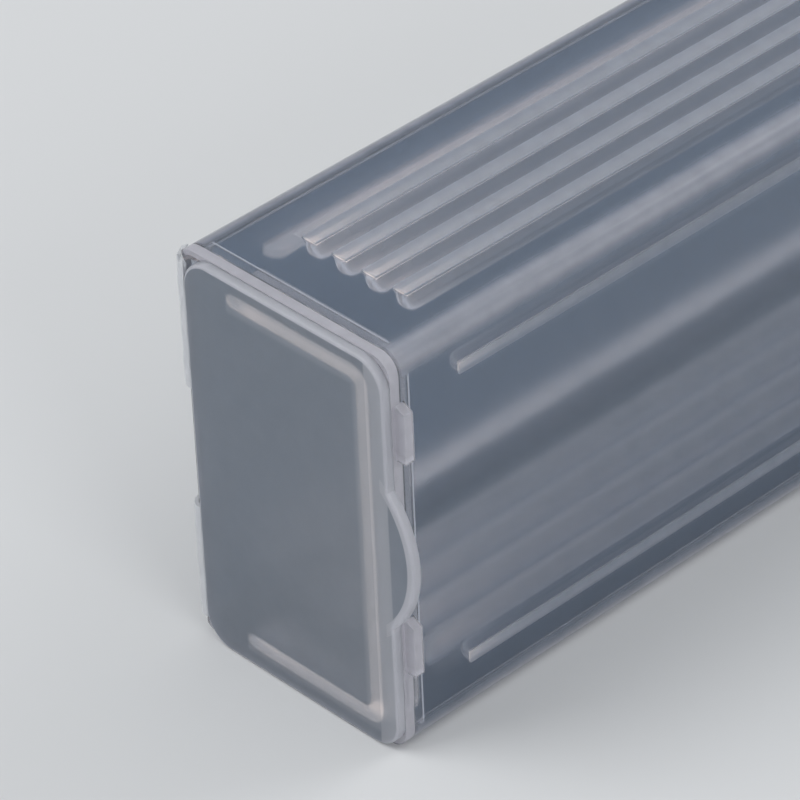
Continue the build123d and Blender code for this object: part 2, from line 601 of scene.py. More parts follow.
@dataclass(frozen=True)
class ClearTubeFinish(Plastic):
    """Clear moulded wall, milky where it is thick: mouth, edges and lugs; the pale long edges are partly a
    painted highlight.

    Args:
        mouth: white band round the mouth, along the tube.
        strip: paler strip that reaches behind it.
        fin_rise: divider fins, from mid height.
        fin_side: divider fins, from the middle plane.
        rib_rise: stand-off ribs, from mid height.
        rib_side: stand-off ribs, from the middle plane.
        ridges: fins and ribs, along the tube.
        edge_highlight_rise: long edges, pale partly by a painted highlight, from mid height.
        edge_highlight_side: long edges, pale partly by a painted highlight, from the middle plane.
        lugs: catch lugs, across the tube.
    """

    mouth: Span = Span(-1.0, 0.74, 0.06)
    strip: Span = Span(-1.0, 1.45, 0.3)
    fin_rise: Span = Span(11.9, 13.86, 0.06)
    fin_side: Span = Span(0.0, 5.3, 0.2)
    rib_rise: Span = Span(10.3, 12.0, 0.1)
    rib_side: Span = Span(6.8, 8.3, 0.06)
    ridges: Span = Span(6.0, 79.0, 0.05)
    edge_highlight_rise: Span = Span(14.25, 16.0, 0.9)
    edge_highlight_side: Span = Span(8.7, 12.0, 0.9)
    lugs: Span = Span(9.52, 12.0, 0.04)

    def paint(self, sheet: MaterialSheet) -> None:
        """Colour the tube, and roughen it where it is thick.

        Args:
            sheet: sheet of the material.
        """
        within = sheet.within
        ridges = within("Along", self.ridges)
        thick = sheet.strongest(
            within("Along", self.mouth),
            (0.3, within("Along", self.strip)),
            (0.55, sheet.product(within("Rise", self.fin_rise), within("Side", self.fin_side), ridges)),
            (0.5, sheet.product(within("Side", self.rib_side), within("Rise", self.rib_rise), ridges)),
            # Long edges: their milky thickness and a painted highlight.
            (0.6, sheet.product(within("Side", self.edge_highlight_side), within("Rise", self.edge_highlight_rise))),
            (1.0, within("Across", self.lugs)),
        )
        marks = sheet.math("MULTIPLY", sheet.skin["Marks"], 0.6)
        thick = sheet.math("ADD", thick, marks, clamp=True)
        self.tint(sheet, thick, 0.12)
        sheet.drive("Roughness", sheet.math("MULTIPLY_ADD", thick, 0.18, self.roughness))


@dataclass(frozen=True)
class FrostedLidFinish(Plastic):
    """Frosted plate, paler over the plug rim behind it and along its outline, where the pale border is partly
    a painted highlight.

    Args:
        arm_rise: arms of the plug rim, from mid height.
        arm_across: arms of the plug rim, across the lid.
        bar_across: latch side of the plug rim, across the lid.
        bar_rise: latch side of the plug rim, from mid height.
        margin: lid outside the plug rim on the latch side, across the lid.
        behind: everything behind the plate, along the tube.
        border: pale border, partly a painted highlight, from the middles of the corner arcs less their
            radius.
        tab_span: stretch of the edge that the thumb tab takes up, from its middle.
        latch_side: the edge that the tab stands on, across the lid.
        tab_across: the tab, across the lid.
        tab_border: pale border of the tab, partly a painted highlight, in from its arc.
    """

    arm_rise: Span = Span(12.8, 13.6, 0.45)
    arm_across: Span = Span(-4.2, 7.85, 0.3)
    bar_across: Span = Span(7.0, 7.75, 0.45)
    bar_rise: Span = Span(0.0, 13.6, 0.3)
    margin: Span = Span(7.95, 9.4, 0.15)
    behind: Span = Span(0.1, 5.0, 0.1)
    border: Span = Span(-0.17, 0.1, 0.05)
    tab_span: Span = Span(-4.9, 4.9, 0.3)
    latch_side: Span = Span(8.0, 12.0, 0.2)
    tab_across: Span = Span(8.9, 12.0, 0.3)
    tab_border: Span = Span(-0.2, 0.5, 0.06)

    def paint(self, sheet: MaterialSheet) -> None:
        """Colour the lid.

        Args:
            sheet: sheet of the material.
        """
        within = sheet.within
        past_corner = sheet.math("SUBTRACT", self._from_corners(sheet), SIZES.lid_corner)
        from_tab = sheet.math("SUBTRACT", sheet.measures["Up"], SIZES.tab_up)
        at_tab = sheet.product(within(from_tab, self.tab_span), within("Across", self.latch_side))
        # The pale border along the outline is partly a painted highlight.
        border = sheet.product(within(past_corner, self.border), sheet.math("SUBTRACT", 1.0, at_tab))
        arc = sheet.length(sheet.math("SUBTRACT", sheet.measures["Across"], SIZES.tab_across), from_tab)
        from_arc = sheet.math("SUBTRACT", SIZES.tab_radius, arc)
        thick = sheet.strongest(
            sheet.product(within(from_arc, self.tab_border), within("Across", self.tab_across)),
            (0.9, border),
            (0.35, sheet.product(within("Rise", self.arm_rise), within("Across", self.arm_across))),
            (0.35, sheet.product(within("Across", self.bar_across), within("Rise", self.bar_rise))),
            (0.7, within("Across", self.margin)),
            (0.9, within("Along", self.behind)),
        )
        self.tint(sheet, thick, 0.15)

    @staticmethod
    def _from_corners(sheet: MaterialSheet) -> Socket:
        """Distance from the rectangle through the middles of the lid's corner arcs.

        It is the length of what lies past that rectangle's half sizes, so on the
        lid's rounded outline it is the corner radius everywhere.

        Args:
            sheet: sheet of the material.

        Returns:
            The distance.
        """
        middle = (SIZES.lid_left + SIZES.half_width) / 2.0
        half_across = SIZES.half_width - middle - SIZES.lid_corner
        half_rise = MID_HEIGHT - SIZES.lid_margin - SIZES.lid_corner
        from_middle = sheet.math("ABSOLUTE", sheet.math("SUBTRACT", sheet.measures["Across"], middle))
        past_side = sheet.math("SUBTRACT", from_middle, half_across)
        past_top = sheet.math("SUBTRACT", sheet.measures["Rise"], half_rise)
        return sheet.length(*(sheet.math("MAXIMUM", past, 0.0) for past in (past_side, past_top)))


@dataclass(frozen=True)
class CloudFinish:
    """Cloud inside thick plastic. The piece's milk attribute says how dense it is.

    Its carry attribute sets how much painted glow it gives off: the cloud is no lamp,
    yet it gives off light of its own in place of the light that clear mouldings bring
    out at their edges and ribs. Each wall in front of a cloud takes out red, so a cloud
    with much painted glow is warmer.

    Args:
        name: material name.
        cool: colour of a cloud with little painted glow.
        warm: colour of a cloud with much painted glow.
        strength: emission strength of the painted glow.
    """

    name: str
    cool: Colour
    warm: Colour
    strength: float = 3.0

    def build(self, effects: SharedEffects) -> bpy.types.Material:
        """Build the material.

        Args:
            effects: the shared groups.

        Returns:
            The material.
        """
        sheet = MaterialSheet(
            self.name,
            effects,
            (0.4, 0.2, 5.0),
            Roughness=0.6,
            Specular_IOR_Level=0.0,
            Emission_Strength=self.strength,
        )
        carry = sheet.add("ShaderNodeAttribute", attribute_name="carry").outputs["Fac"]
        colour = sheet.blend(sheet.ramp(carry, 0.08, 0.6), rgba(self.cool), rgba(self.warm))
        sheet.drive("Base Color", colour)
        # Painted glow: the cloud gives off light though it is no lamp.
        share = sheet.math("DIVIDE", carry, self.strength, clamp=True)
        sheet.drive("Emission Color", sheet.blend(share, (0.0, 0.0, 0.0, 1.0), colour))
        milk = sheet.add("ShaderNodeAttribute", attribute_name="milk").outputs["Fac"]
        uneven = sheet.math("MULTIPLY_ADD", sheet.skin["Cloud"], 0.5, 0.75)
        sheet.drive("Alpha", sheet.math("MULTIPLY", milk, uneven, clamp=True))
        return sheet.material


def grid_faces(rows: int, columns: int, close_rows: bool, close_columns: bool) -> np.ndarray:
    """Four-sided faces of a grid of points.

    Args:
        rows: number of rows.
        columns: number of points in a row.
        close_rows: join the last row to the first.
        close_columns: join the last column to the first.

    Returns:
        Array of shape (n, 4) of point numbers.
    """
    index = np.arange(rows * columns).reshape(rows, columns)
    if close_rows:
        index = np.vstack([index, index[:1]])
    if close_columns:
        index = np.hstack([index, index[:, :1]])
    faces = np.stack([index[:-1, :-1], index[:-1, 1:], index[1:, 1:], index[1:, :-1]], axis=-1)
    return faces.reshape(-1, 4)


def new_piece(name: str, points: np.ndarray, faces: np.ndarray) -> Piece:
    """Make a mesh object and link it to the scene.

    Args:
        name: object name.
        points: array whose last axis is x, y and z, in metres.
        faces: array of shape (n, 4).

    Returns:
        The object.
    """
    mesh = bpy.data.meshes.new(name)
    mesh.from_pydata(points.reshape(-1, 3).tolist(), [], faces.tolist())
    mesh.update()
    piece = bpy.data.objects.new(name, mesh)
    bpy.context.scene.collection.objects.link(piece)
    return piece


def close_up(piece: Piece) -> None:
    """Merge the end points of a piece's strands and turn its faces outwards.

    Args:
        piece: object made by strands.
    """
    work = bmesh.new()
    work.from_mesh(piece.data)
    bmesh.ops.remove_doubles(work, verts=work.verts, dist=1e-7)
    bmesh.ops.recalc_face_normals(work, faces=work.faces)
    work.to_mesh(piece.data)
    work.free()
    piece.data.shade_smooth()
    piece.data.set_sharp_from_angle(angle=math.radians(45.0))


def end_rows(values: np.ndarray) -> np.ndarray:
    """Add a first and a last row that hold the mean of the outermost ones.

    Args:
        values: array of shape (strands, rows, columns) or (strands, rows, columns, 3).

    Returns:
        The array with two rows more.
    """
    ends = [
        np.broadcast_to(row.mean(axis=2, keepdims=True), row.shape) for row in (values[:, :1], values[:, -1:])
    ]
    return np.concatenate([ends[0], values, ends[1]], axis=1)


def strands(name: str, rings: np.ndarray, looped: bool = False, **fields: object) -> Piece:
    """Make one piece of several closed strands, each a grid of rings along a path.

    Each strand is a grid of points. Its columns close round the section, and its
    rows either close on themselves or end in the ring's middle point.

    Args:
        name: piece name.
        rings: array of shape (strands, rows, columns, 3), in millimetres from the mouth.
        looped: the last row joins the first.
        fields: vertex values by name, numbers or arrays that fit the rings.

    Returns:
        The piece, with its vertex values.
    """
    values = {label: np.broadcast_to(field, rings.shape[:3]) for label, field in fields.items()}
    if not looped:
        rings = end_rows(rings)
        values = {
            label: np.concatenate([field[:, :1], field, field[:, -1:]], axis=1)
            for label, field in values.items()
        }
    count, rows, columns = rings.shape[:3]
    faces = grid_faces(rows, columns, looped, True)
    faces = faces[None] + (np.arange(count) * rows * columns)[:, None, None]
    piece = new_piece(name, (rings + np.array([0.0, MOUTH_Y, 0.0])) * MILLIMETRE, faces.reshape(-1, 4))
    for label, field in values.items():
        attribute = piece.data.attributes.new(label, "FLOAT", "POINT")
        attribute.data.foreach_set("value", field.reshape(-1).astype(np.float32))
    close_up(piece)
    return piece


def line_rings(lines: list[tuple[np.ndarray, np.ndarray]], alongs: tuple[float, ...]) -> np.ndarray:
    """Rings of one strand whose edges are lines across the tube.

    Args:
        lines: positions across and up of each edge.
        alongs: distance of each edge from the mouth.

    Returns:
        Array of shape (1, rows, columns, 3).
    """
    columns = [
        np.stack([across, np.full_like(across, along), up], axis=-1)
        for (across, up), along in zip(lines, alongs)
    ]
    return np.stack(columns, axis=1)[None]


@dataclass
class RidgeCores:
    """Cloud inside a row of moulded ridges, the divider fins or the stand-off ribs.

    Args:
        name: piece name.
        feet: foot of each ridge, across and up.
        inward: direction from the wall into the cavity, across and up.
        lit: side that the section starts on, 1 or -1.
        height: ridge height above its wall.
        stem: half thickness at the foot of the ridge.
        root: half width of the cloud in the wall.
        rise: height of the spread root.
        nose: radius of the ridge's front end.
        crest: half thickness at the crest.
        inset: how far the cloud keeps inside the ridge.
        depth: how far it reaches into the wall.
        flank_milk: density far behind the nose.
        band_milk: density in the wall.
        flank_carry: painted glow given off by the ridge.
        band_carry: painted glow given off in the wall.
        rim_carry: painted glow given off besides by the rim of the nose, part of its painted highlight.
        rim_width: width over which the rim's painted highlight fades.
        crest_width: width over which the crest's painted highlight fades.
        rim_run: length over which the rim's painted highlight fades along the ridge.
        flank_run: length over which the flank thins out.
    """

    name: str
    feet: list[tuple[float, float]]
    inward: tuple[float, float]
    lit: float
    height: float
    stem: float
    root: float
    rise: float
    nose: float
    crest: float = 0.25
    inset: float = 0.05
    depth: float = 0.32
    flank_milk: float = 0.13
    band_milk: float = 0.7
    flank_carry: float = 0.6
    band_carry: float = 0.13
    rim_carry: float = 0.8
    rim_width: float = 0.34
    crest_width: float = 0.25
    rim_run: float = 4.0
    flank_run: float = 7.0

    def section(self) -> tuple[np.ndarray, np.ndarray]:
        """Section of a ridge's cloud, once round.

        It goes up the lit side from the wall to the crest, over the crest in a half
        circle, down the other side, and back through the wall.

        Returns:
            Distances sideways and inward, in millimetres.
        """
        crest = self.crest - self.inset
        stem = self.stem - self.inset
        top = self.height - self.inset - crest
        flank = np.linspace(0.0, 1.0, 6)
        side = np.concatenate([[self.root, self.root], stem + (crest - stem) * flank])
        inward = np.concatenate([[-self.depth, 0.0], self.rise + (top - self.rise) * flank])
        turn = np.linspace(0.0, math.pi, 7)[1:-1]
        wall_side = np.array([-0.9, -0.3, 0.4, 0.82]) * self.root
        sideways = np.concatenate([side, crest * np.cos(turn), -side[::-1], wall_side])
        wall_up = np.full_like(wall_side, -self.depth)
        up = np.concatenate([inward, top + crest * np.sin(turn), inward[::-1], wall_up])
        return sideways, up

    def rows(self) -> np.ndarray:
        """Distances along the ridge, close together round the nose."""
        turn = np.linspace(0.02, 0.5 * math.pi, 12)
        nose = self.nose * (1.0 - np.cos(turn))
        run = np.linspace(self.nose + 0.4, SIZES.cavity_depth - 0.2 - SIZES.ridge_start, 40)
        return np.concatenate([nose + 0.04, run])

    def build(self) -> Piece:
        """Carry the section along the tube under the round nose.

        The height at distance w from the front end is h - r + sqrt(r^2 - (r - w)^2)
        inside the nose radius r, and h behind it.

        Returns:
            The piece.
        """
        sideways, up = self.section()
        along = self.rows()
        left = np.clip(self.nose - along, 0.0, None)
        reach = self.height - self.nose + np.sqrt(self.nose**2 - left**2)
        scale = ((reach - self.inset) / self.height)[:, None]
        inward = np.where(up > 0.0, up * scale, up)
        toward = np.array(self.inward)
        beside = self.lit * np.abs(toward[::-1])
        spot = np.array(self.feet)[:, None, None, :] + sideways[:, None] * beside
        spot = spot + inward[:, :, None] * toward
        places = (spot[..., 0], SIZES.ridge_start + along[None, :, None], spot[..., 1])
        milk, carry = self.cloud(sideways, up, along)
        return strands(self.name, np.stack(np.broadcast_arrays(*places), axis=-1), milk=milk, carry=carry)

    def cloud(
        self, sideways: np.ndarray, up: np.ndarray, along: np.ndarray
    ) -> tuple[np.ndarray, np.ndarray]:
        """Density of the cloud over one ridge, and its painted glow.

        The root is a band that is densest at its lit edge, where the extra density is a
        painted highlight. The flank is thin, with a pale rim that fades within half a
        millimetre of the nose and of the crest; the pale rim and the pale crest are
        painted highlights, and the rim also glows.

        Args:
            sideways: distance sideways round the section.
            up: distance inward round the section.
            along: distance from the front end.

        Returns:
            Two arrays of shape (rows, columns).
        """
        slope = np.clip((sideways / self.root + 1.0) / 2.0, 0.0, 1.0)
        # The last term adds a painted highlight along the band's lit edge.
        band = self.band_milk * (0.8 + 0.2 * slope) + 0.25 * np.clip(slope * 12.0 - 11.0, 0.0, 1.0)
        into = np.clip(up / self.rise, 0.0, 1.0)
        w = along[:, None]
        ahead = np.clip(self.nose - w, 0.0, None)
        above = np.clip(up - (self.height - self.nose), 0.0, None)
        depth = np.where(above > 0.0, self.nose - np.hypot(ahead, above), w)
        # rim and crest are painted highlights on the nose and along the crest.
        rim = np.exp(-((depth / self.rim_width) ** 2)) * np.exp(-w / self.rim_run)
        crest = 0.2 * np.exp(-(((self.height - up) / self.crest_width) ** 2))[None, :]
        flank = self.flank_milk * (1.0 + 1.8 * np.exp(-w / self.flank_run)) + np.maximum(0.7 * rim, crest)
        # Painted glow, with the rim's painted highlight added at the nose.
        carry = self.band_carry + (self.flank_carry - self.band_carry + self.rim_carry * rim) * into
        return np.clip((1.0 - into) * band + into * flank, 0.0, 1.0), carry


@dataclass
class MouthCores:
    """Cloud in the tube's mouth band, along the edge of the rebate and in the long corners, where it paints
    their highlights.

    Args:
        band_stop: back of the white band round the mouth.
        line_at: distance of the rebate's edge from the mouth.
        corner_milk: density of the cloud in the long corners, which paints their highlights.
        reach: how far the corner clouds run on along the walls.
        fade: width over which they fade there.
    """

    band_stop: float = 0.74
    line_at: float = 1.9
    corner_milk: float = 0.72
    reach: float = 1.1
    fade: float = 0.4

    @staticmethod
    def path(inset: float) -> tuple[np.ndarray, np.ndarray]:
        """Line inside the tube's outline, from the hinge side over the top and back below.

        Straight runs along the two narrow walls and the latch wall are joined by
        quarter circles of the corner radius less the inset, and the line starts part
        of the way round the corner on the hinge side.

        Args:
            inset: distance from the outside.

        Returns:
            Positions across and up.
        """
        right = SIZES.half_width - inset
        top = SIZES.height - inset
        radius = SIZES.corner_radius - inset
        turn = np.linspace(0.5 * math.pi, 0.0, 9)
        first = np.linspace(0.72 * math.pi, 0.5 * math.pi, 6)[:-1]
        run = np.linspace(radius - right, right - radius, 12)[:-1]
        fall = np.linspace(top - radius, MID_HEIGHT, 9)[1:]
        arc_across = right - radius + radius * np.cos(turn)
        arc_up = top - radius + radius * np.sin(turn)
        start_across = radius - right + radius * np.cos(first)
        across = np.concatenate([start_across, run, arc_across, np.full_like(fall, right)])
        start_up = top - radius + radius * np.sin(first)
        up = np.concatenate([start_up, np.full_like(run, top), arc_up, fall])
        return np.concatenate([across, across[-2::-1]]), np.concatenate([up, SIZES.height - up[-2::-1]])

    def ring(
        self, name: str, depths: tuple[float, float], stretch: tuple[float, float], **fields: float
    ) -> Piece:
        """Strand of square section along the outline.

        Args:
            name: piece name.
            depths: distances of its outside and its inside from the tube's outside.
            stretch: its front and its back, behind the mouth.
            fields: density of the cloud and its painted glow.

        Returns:
            The piece.
        """
        lines = [self.path(inset) for inset in np.repeat(depths, 2)]
        front, back = stretch
        return strands(name, line_rings(lines, (front, back, back, front)), **fields)

    def corners(self) -> Piece:
        """Thin curved shells under the four long corners.

        Each section runs along one wall, round two arcs about the corner's own centre
        and along the next wall. The centre moves inward with the tube's draft. The
        cloud paints the corner's highlight: two streaks across the arc are painted
        highlights, and it fades out along both walls.

        Returns:
            The piece.
        """
        flat = np.linspace(-0.9, 0.0, 8)[:-1]
        share = np.concatenate([flat, np.linspace(0.0, 1.0, 16), 1.0 - flat[::-1]])
        share = np.concatenate([share, share[::-1]])
        half = len(share) // 2
        thin = np.sin(math.pi * np.clip((share + 0.92) / 2.84, 0.0, 1.0)) ** 0.5
        depth = np.where(np.arange(2 * half) < half, 0.05, 0.05 + 0.24 * thin)
        turn = 0.5 * math.pi * (1.0 - np.clip(share, 0.0, 1.0))
        before = np.clip(-share, 0.0, None) * self.reach
        after = np.clip(share - 1.0, 0.0, None) * self.reach
        along = np.linspace(1.0, SIZES.length - 0.9, 40)
        draw = (SIZES.draft * along / SIZES.length)[:, None]
        radius = SIZES.corner_radius - depth
        across = SIZES.half_width - SIZES.corner_radius - draw + radius * np.cos(turn) - before
        rise = MID_HEIGHT - SIZES.corner_radius + radius * np.sin(turn) - after
        shells = []
        for side in (-1.0, 1.0):
            for level in (-1.0, 1.0):
                lift = draw if level > 0.0 else 0.0 * draw
                up = MID_HEIGHT + level * (rise - lift)
                shells.append(np.stack(np.broadcast_arrays(side * across, along[:, None], up), axis=-1))
        # The two streaks are painted highlights across the rounded corner.
        streaks = np.exp(-(((share - 0.16) / 0.18) ** 2)) + np.exp(-(((share - 0.66) / 0.15) ** 2))
        out = before + after
        fade = np.exp(-((out / self.fade) ** 2)) * np.where(out > 0.95, 0.0, 1.0)
        uneven = 0.9 + 0.1 * np.sin(along * 0.9) * np.sin(along * 0.31)
        milk = self.corner_milk * uneven[:, None] * np.clip(0.5 + 0.5 * streaks, 0.0, 1.0) * fade
        rings = np.stack(shells)
        return strands("corner_highlight_clouds", rings, milk=milk, carry=0.05)

    def build(self) -> list[Piece]:
        """Build the band, the rebate line and the corner shells."""
        line = (self.line_at - 0.05, self.line_at + 0.03)
        return [
            self.ring("mouth_band_cloud", (0.05, 0.42), (0.02, self.band_stop), milk=0.75, carry=0.06),
            self.ring("rebate_edge_cloud", (0.84, 0.95), line, milk=0.9, carry=0.3),
            self.corners(),
        ]


@dataclass
class LugCores:
    """Cloud inside the two catch lugs.

    Args:
        bases: lower ends of the lugs.
        reach: how far a lug stands out of the wall.
        length: length of a lug, upwards.
        chamfer: length of its sloped upper end.
    """

    bases: tuple[float, float] = (22.6, 6.2)
    reach: float = 0.78
    length: float = 4.1
    chamfer: float = 0.45

    def build(self) -> Piece:
        """Carry a rounded rectangle up each lug, drawn in under its sloped upper end.

        Returns:
            The piece.
        """
        turn = np.linspace(0.0, 2.0 * math.pi, 17)[:-1]
        box = np.clip(1.4 * np.stack([np.cos(turn), np.sin(turn)], axis=-1), -1.0, 1.0)
        up = np.concatenate([[0.07], np.linspace(0.15, self.length - self.chamfer, 10), [self.length - 0.12]])
        full = np.where(up > self.length - self.chamfer, 0.3, 1.0)
        inner = SIZES.half_width - 0.35
        outer = SIZES.half_width + self.reach * full - 0.06
        middle = ((outer + inner) / 2.0)[:, None]
        half = ((outer - inner) / 2.0)[:, None]
        x = middle + half * box[:, 0]
        y = np.broadcast_to(0.66 + 0.32 * box[:, 1], x.shape)
        heights = np.array(self.bases)[:, None, None] + up[None, :, None]
        rings = np.stack(np.broadcast_arrays(x[None], y[None], heights), axis=-1)
        milk = np.where(up < 0.16, 1.0, 0.6)
        return strands("lug_clouds", rings, milk=milk[None, :, None], carry=0.08)


@dataclass
class LidCores:
    """Cloud in the lid's outline, partly a painted highlight, and in the plug rim behind it.

    Args:
        rim_outer: outside of the rim's arms, from mid height.
        rim_right: outside of its latch side.
        rim_wall: thickness of the rim.
        rim_bend: outside radius of its two bends.
        arm_end: ends of its arms, across the lid.
        tip_run: length over which an arm rounds off.
        plug_depth: how far the cloud reaches into the plug rim.
        tab_band: extra width of the pale edge, partly a painted highlight, at the thumb tab.
    """

    rim_outer: float = 13.78
    rim_right: float = 7.85
    rim_wall: float = 1.05
    rim_bend: float = 1.3
    arm_end: float = -4.35
    tip_run: float = 0.45
    plug_depth: float = 2.42
    tab_band: float = 0.35

    @staticmethod
    def outline(inset: float, extra: float = 0.0) -> tuple[np.ndarray, np.ndarray]:
        """Closed line inside the lid's edge, with the thumb tab's arc on the latch side.

        Straight runs and quarter circles follow the plate, and the tab is an arc of
        its own radius less the inset.

        Args:
            inset: distance from the edge.
            extra: how much further in the line runs at the middle of the tab.

        Returns:
            Positions across and up.
        """
        left, right = SIZES.lid_left + inset, SIZES.half_width - inset
        bottom, top = SIZES.lid_margin + inset, SIZES.height - SIZES.lid_margin - inset
        radius = SIZES.lid_corner - inset
        tab = SIZES.tab_radius - inset
        half = math.sqrt(tab**2 - (right - SIZES.tab_across) ** 2)
        swing = math.asin(half / tab)
        turns = np.linspace(-swing, swing, 31)
        reach = tab - extra * np.sin(np.linspace(0.0, math.pi, 31)) ** 0.5
        across = [np.full(7, right), SIZES.tab_across + reach * np.cos(turns), np.full(7, right)]
        up = [
            np.linspace(bottom + radius, SIZES.tab_up - half, 8)[:-1],
            SIZES.tab_up + reach * np.sin(turns),
            np.linspace(SIZES.tab_up + half, top - radius, 8)[1:],
        ]
        for centre_x, centre_z, first in (
            (right - radius, top - radius, 0.0),
            (left + radius, top - radius, 0.5 * math.pi),
            (left + radius, bottom + radius, math.pi),
            (right - radius, bottom + radius, 1.5 * math.pi),
        ):
            turn = first + np.linspace(0.0, 0.5 * math.pi, 10)[1:]
            across.append(centre_x + radius * np.cos(turn))
            up.append(centre_z + radius * np.sin(turn))
        return np.concatenate(across)[:-1], np.concatenate(up)[:-1]

    def edge(self) -> Piece:
        """Strand of square section just inside the lid's edge, whose cloud is partly a painted highlight.

        Returns:
            The piece.
        """
        front, back = SIZES.lid_front + 0.05, -0.1
        insets = (0.06, 0.06, 0.22, 0.26, 0.18)
        widen = (0.0, 0.0, self.tab_band, self.tab_band, 0.0)
        lines = [self.outline(inset, extra) for inset, extra in zip(insets, widen)]
        rings = line_rings(lines, (front + 0.14, back, back, front, front))
        # Pale edge: partly the plate's milky edge, partly a painted highlight.
        milk = np.array([0.8, 0.5, 0.25, 0.35, 0.7])
        return strands("lid_edge_highlight_cloud", rings, looped=True, milk=milk, carry=0.05)

    def rim(self) -> Piece:
        """Soft-edged strand along the middle of the U-shaped plug rim.

        Two arms and the latch side are joined by quarter circles. The section is
        the rim's, and it narrows at both ends as the rim's round ends do.

        Returns:
            The piece.
        """
        half = self.rim_wall / 2.0
        level = self.rim_outer - half
        right = self.rim_right - half
        bend = self.rim_bend - half
        tip = self.arm_end + self.tip_run * (1.0 - np.cos(np.linspace(0.0, 1.5, 8)))
        run = np.concatenate([tip, np.linspace(self.arm_end + 0.6, right - bend, 20)])
        turn = np.linspace(0.5 * math.pi, 0.0, 8)[1:]
        drop = np.linspace(level - bend, 0.0, 16)[1:]
        across = np.concatenate([run, right - bend + bend * np.cos(turn), np.full_like(drop, right)])
        up = np.concatenate([np.full_like(run, level), level - bend + bend * np.sin(turn), drop])
        across = np.concatenate([across, across[-2::-1]])
        up = np.concatenate([up, -up[-2::-1]])
        step = np.gradient(np.stack([across, up], axis=1), axis=0)
        step /= np.linalg.norm(step, axis=1, keepdims=True)
        out = np.stack([-step[:, 1], step[:, 0]], axis=1)
        tip = np.clip((across - self.arm_end + 0.03) / self.tip_run, 0.0, 1.0)
        width = (half - 0.04) * np.sqrt(1.0 - (1.0 - tip) ** 2)
        back = self.plug_depth
        outside = [(1.0, 0.03), (1.0, 1.2), (1.0, 1.8), (1.0, 2.15), (0.7, back)]
        inside = [(-0.7, back), (-1.0, 2.1), (-1.0, 0.9), (-1.0, 0.03)]
        front = [(-0.5, 0.03), (0.0, 0.03), (0.5, 0.03)]
        places = np.array(outside + inside + front)
        density = np.array([0.18, 0.4, 0.55, 1.0, 1.0, 0.7, 0.2, 0.1, 0.1, 0.26, 0.34, 0.28])
        # The bright spot at the arm's end is a painted highlight.
        bright = 1.0 + 1.6 * np.exp(-(((across - self.arm_end) / 1.2) ** 2)) - 0.45 * (across > 7.0)
        milk = np.clip(bright[:, None] * density, 0.0, 1.0)
        line = np.stack([across, up], axis=1)
        flat = line[:, None, :] + out[:, None, :] * (width[:, None] * places[:, 0])[:, :, None]
        rings = np.empty((len(line), len(places), 3))
        rings[:, :, 0] = flat[:, :, 0]
        rings[:, :, 1] = places[:, 1]
        rings[:, :, 2] = flat[:, :, 1] + MID_HEIGHT
        carry = np.array([0.1, 0.28, 0.35, 0.5, 0.5, 0.35, 0.15, 0.08, 0.05, 0.07, 0.07, 0.07])
        return strands("plug_rim_cloud", rings[None], milk=milk, carry=carry)


@dataclass
class ClearCores:
    """All the clouds of the moulding, put on the bodies that they belong to.

    Args:
        deep: finish of the clouds behind a wall or the lid, with their painted glow.
        shallow: finish of the clouds at the mouth, in the corners, lugs and lid edge, with their painted
            glow.
    """

    deep: CloudFinish = CloudFinish(
        name="deep_cloud_painted_glow",
        cool=(0.95, 0.93, 0.95),
        warm=(0.97, 0.84, 0.75),
    )
    shallow: CloudFinish = CloudFinish(
        name="shallow_cloud_painted_glow",
        cool=(0.82, 0.80, 0.84),
        warm=(0.80, 0.80, 0.81),
    )

    def pieces(self) -> list[tuple[Piece, Body, Slot, CloudFinish]]:
        """Build every cloud.

        Returns:
            Each piece with its body, the slot that it takes after, and its finish.
        """
        inner = SIZES.half_width - SIZES.wall
        top = SIZES.height - SIZES.wall
        spots = SIZES.fin_pitch * (np.arange(4) - 1.5)
        fin = {"lit": 1.0, "height": 1.9, "stem": 0.33, "root": 0.58, "rise": 0.3, "nose": 1.5}
        rib = {"lit": -1.0, "height": 1.4, "stem": 0.31, "root": 0.42, "rise": 0.16, "nose": 1.1}
        ridges = (
            RidgeCores("upper_fin_clouds", [(x, top) for x in spots], (0.0, -1.0), **fin),
            RidgeCores(
                "lower_fin_clouds",
                [(x, SIZES.wall) for x in spots],
                (0.0, 1.0),
                **fin,
                flank_milk=0.27,
                flank_carry=0.48,
                band_carry=0.22,
                rim_carry=0.1,
            ),
            RidgeCores(
                "latch_rib_clouds",
                [(inner, up) for up in SIZES.rib_up],
                (-1.0, 0.0),
                **rib,
                band_milk=0.42,
                flank_carry=0.22,
                band_carry=0.05,
                rim_carry=0.3,
            ),
            RidgeCores(
                "hinge_rib_clouds",
                [(-inner, up) for up in SIZES.rib_up],
                (1.0, 0.0),
                **rib,
                flank_milk=0.5,
                flank_carry=0.85,
                band_carry=0.15,
                rim_carry=0.0,
            ),
        )
        lid = LidCores()
        deep = [(ridge.build(), Body.TUBE, Slot.TUBE, self.deep) for ridge in ridges]
        outer = [*MouthCores().build(), LugCores().build()]
        shallow = [(piece, Body.TUBE, Slot.TUBE, self.shallow) for piece in outer]
        rim = (lid.rim(), Body.LID, Slot.LID, self.deep)
        return [*deep, *shallow, rim, (lid.edge(), Body.LID, Slot.LID, self.shallow)]

    def dress(self, effects: SharedEffects) -> None:
        """Build the clouds, give them their finish and let them ride.

        Args:
            effects: the shared groups.
        """
        materials = {finish: finish.build(effects) for finish in (self.deep, self.shallow)}
        for piece, body, slot, finish in self.pieces():
            piece.data.materials.append(materials[finish])
            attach(piece, body.value)
            log.info("%s: %d faces on the %s", piece.name, len(piece.data.polygons), body.value)


